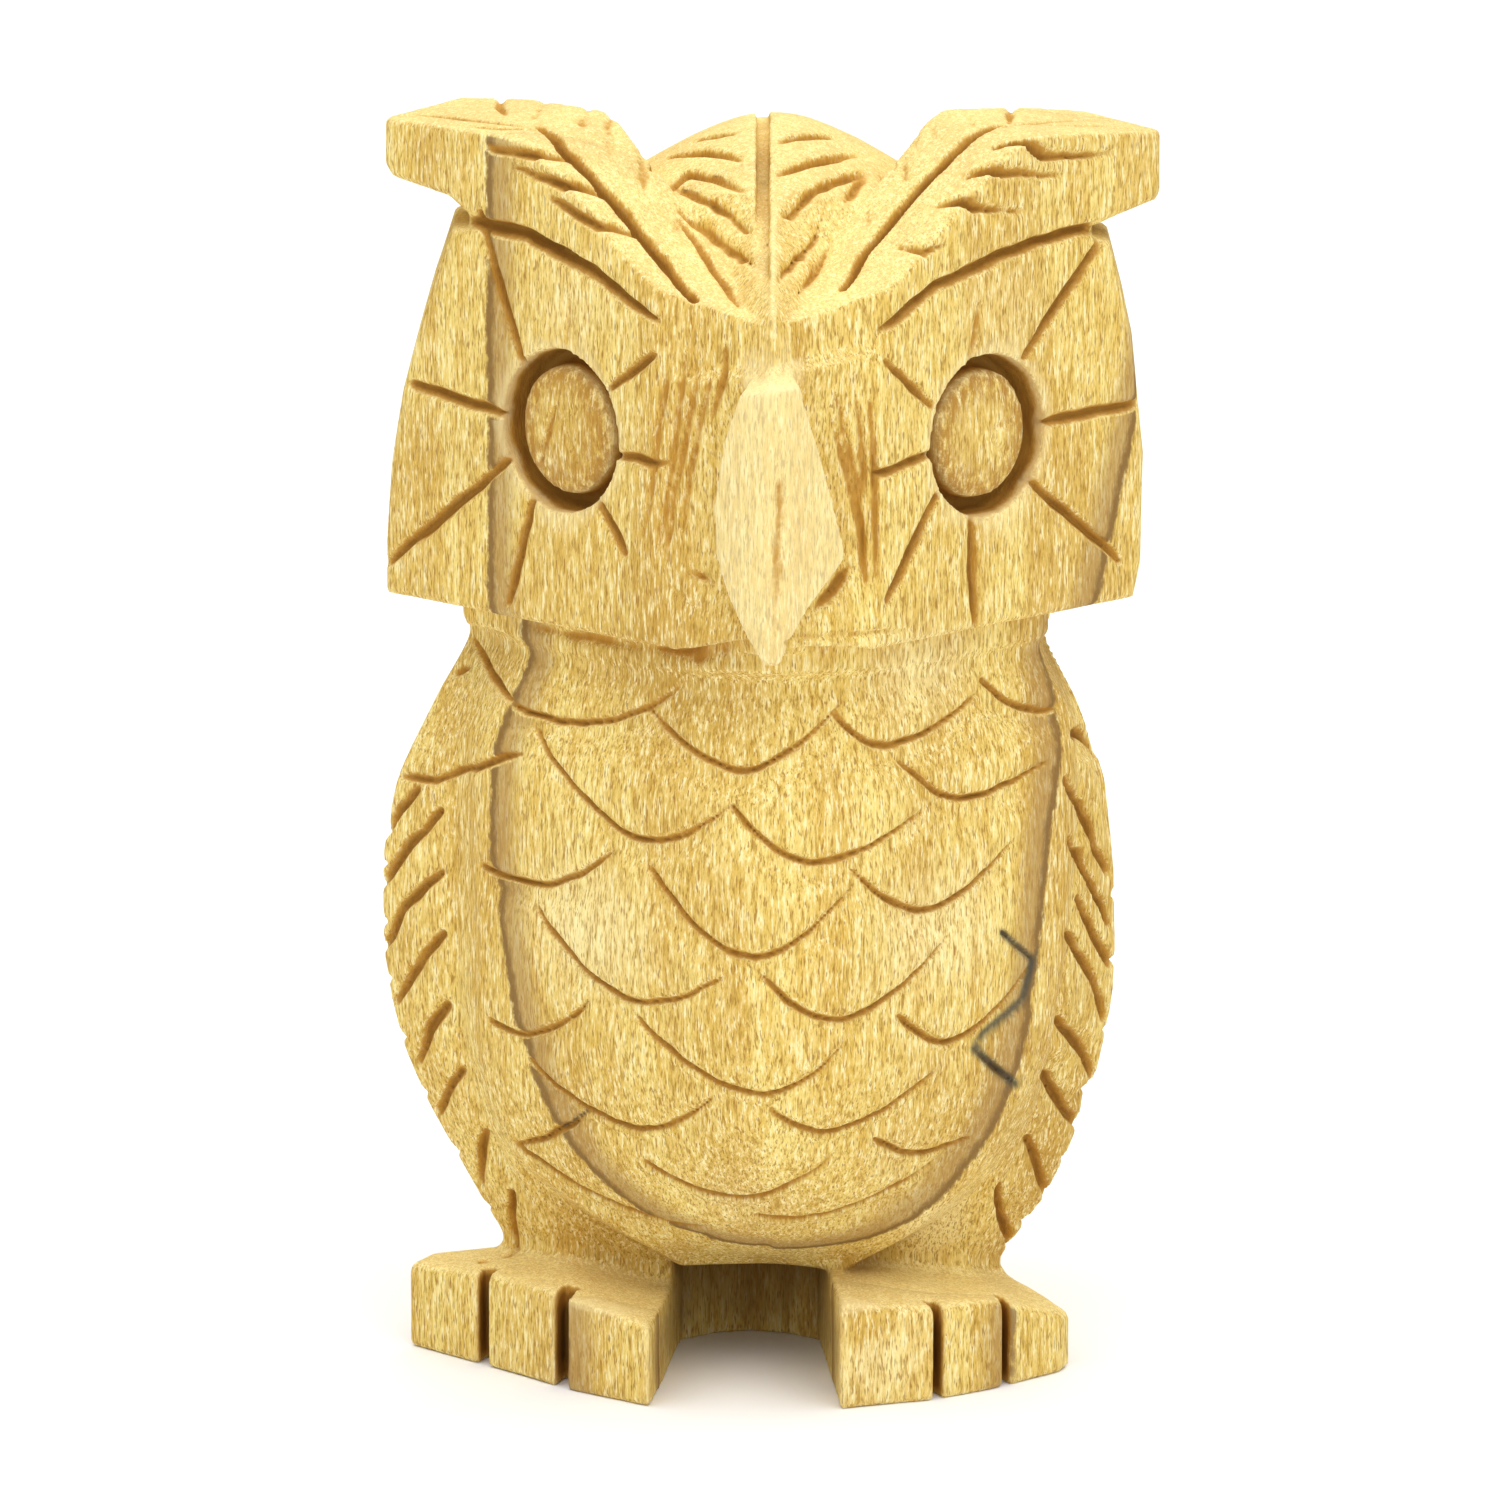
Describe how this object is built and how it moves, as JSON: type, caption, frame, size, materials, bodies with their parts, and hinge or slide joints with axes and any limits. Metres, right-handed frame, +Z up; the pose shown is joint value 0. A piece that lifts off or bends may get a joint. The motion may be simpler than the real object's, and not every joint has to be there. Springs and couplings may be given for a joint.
{
  "type": "carved wooden owl",
  "caption": "Standing owl carved from one square block, beak and breast on the block's corner, with tufts, ringed eyes, breast feathers and two sawn-toed feet.",
  "frame": {"origin": "on the ground, under the centre of the block's square", "axes": "+Z up; the owl looks along -Y; +X to the right as the viewer faces it"},
  "size_m": [0.0613, 0.0614, 0.1003],
  "materials": {
    "wood": "bare carved light hardwood, satin"
  },
  "bodies": {
    "root": {"owl": "wood"}
  },
  "joints": []
}
